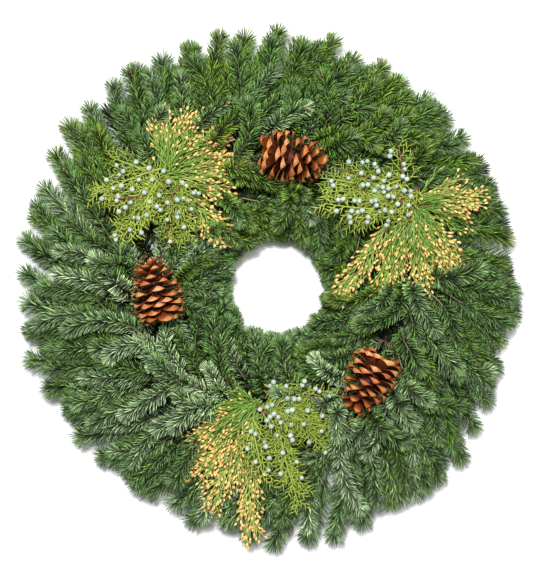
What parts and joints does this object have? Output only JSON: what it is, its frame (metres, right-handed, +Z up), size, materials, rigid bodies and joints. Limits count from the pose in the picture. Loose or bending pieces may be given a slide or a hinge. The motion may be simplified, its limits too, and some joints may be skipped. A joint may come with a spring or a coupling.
{
  "type": "fresh evergreen wreath",
  "caption": "Round wreath of fresh fir bunches held in a wire clamp ring, with clusters of cedar and berried juniper and with pine cones wired on top.",
  "frame": {"origin": "on the surface the wreath lies on, under the middle of its outline", "axes": "+Z up, out of the wreath's face; +Y towards the top of the wreath as it hangs; +X to its right"},
  "size_m": [0.6448, 0.6735, 0.1023],
  "materials": {
    "wire": "green enamel",
    "fir": "fresh needles, waxy",
    "cedar": "fresh scale leaves with ripe pollen cones",
    "juniper": "fresh scale leaves with waxy berries",
    "cone": "dry, matte"
  },
  "bodies": {
    "root": {"clamp_ring": "wire", "fir_outer_01": "fir", "fir_inner_01": "fir", "fir_outer_02": "fir", "fir_inner_02": "fir", "fir_outer_03": "fir", "fir_inner_03": "fir", "fir_outer_04": "fir", "fir_inner_04": "fir", "fir_outer_05": "fir", "fir_inner_05": "fir", "fir_outer_06": "fir", "fir_inner_06": "fir", "fir_outer_07": "fir", "fir_inner_07": "fir", "fir_outer_08": "fir", "fir_inner_08": "fir", "fir_outer_09": "fir", "fir_inner_09": "fir", "fir_outer_10": "fir", "fir_inner_10": "fir", "fir_outer_11": "fir", "fir_inner_11": "fir", "fir_outer_12": "fir", "fir_inner_12": "fir", "fir_outer_13": "fir", "fir_inner_13": "fir", "fir_outer_14": "fir", "fir_inner_14": "fir", "fir_outer_15": "fir", "fir_inner_15": "fir", "fir_outer_16": "fir", "fir_inner_16": "fir", "fir_outer_17": "fir", "fir_inner_17": "fir", "fir_outer_18": "fir", "fir_inner_18": "fir", "cedar_right": "cedar", "juniper_right": "juniper", "cedar_left": "cedar", "juniper_left": "juniper", "cedar_bottom": "cedar", "juniper_bottom": "juniper", "pine_cone_top": "cone", "cone_wire_top": "wire", "pine_cone_left": "cone", "cone_wire_left": "wire", "pine_cone_right": "cone", "cone_wire_right": "wire"}
  },
  "joints": []
}
